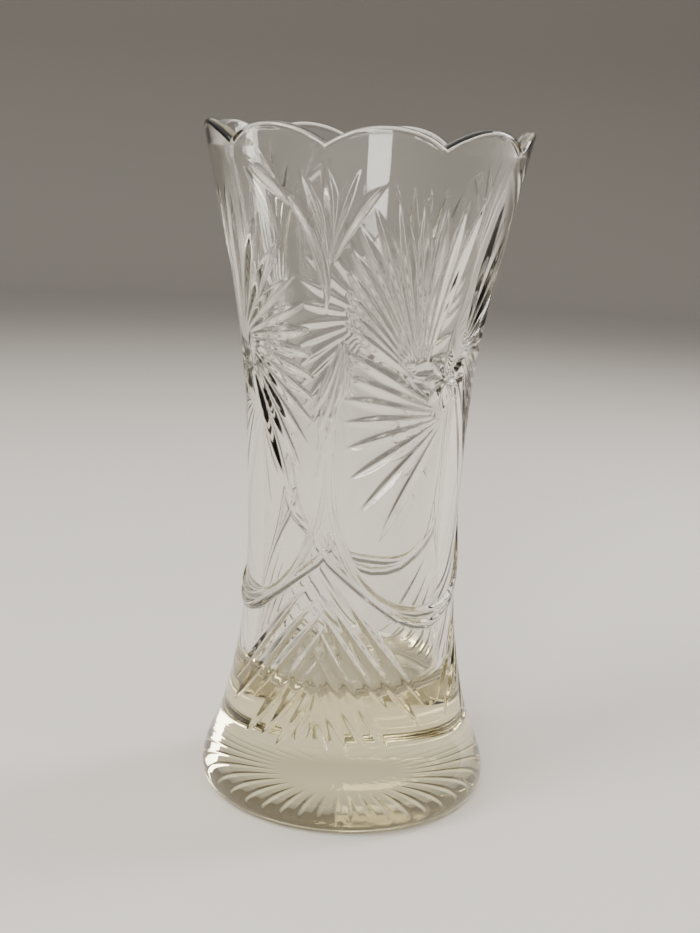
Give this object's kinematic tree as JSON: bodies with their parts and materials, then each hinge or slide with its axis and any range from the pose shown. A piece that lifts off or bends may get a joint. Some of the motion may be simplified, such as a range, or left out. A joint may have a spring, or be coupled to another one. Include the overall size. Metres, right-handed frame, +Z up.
{
  "type": "vase",
  "caption": "Waisted clear cut-glass flower vase with a thick solid foot, a scalloped flared rim and sprays of wheel cuts round the body.",
  "frame": {"origin": "centre of the foot, on the surface the vase stands on", "axes": "+Z up along the vase's axis; -Y is the front, just right of a divider between two cut panels"},
  "size_m": [0.0949, 0.0949, 0.2],
  "materials": {
    "crystal": "clear polished lead crystal with bright wheel cuts"
  },
  "bodies": {
    "root": {"vase_body": "crystal"}
  },
  "joints": []
}
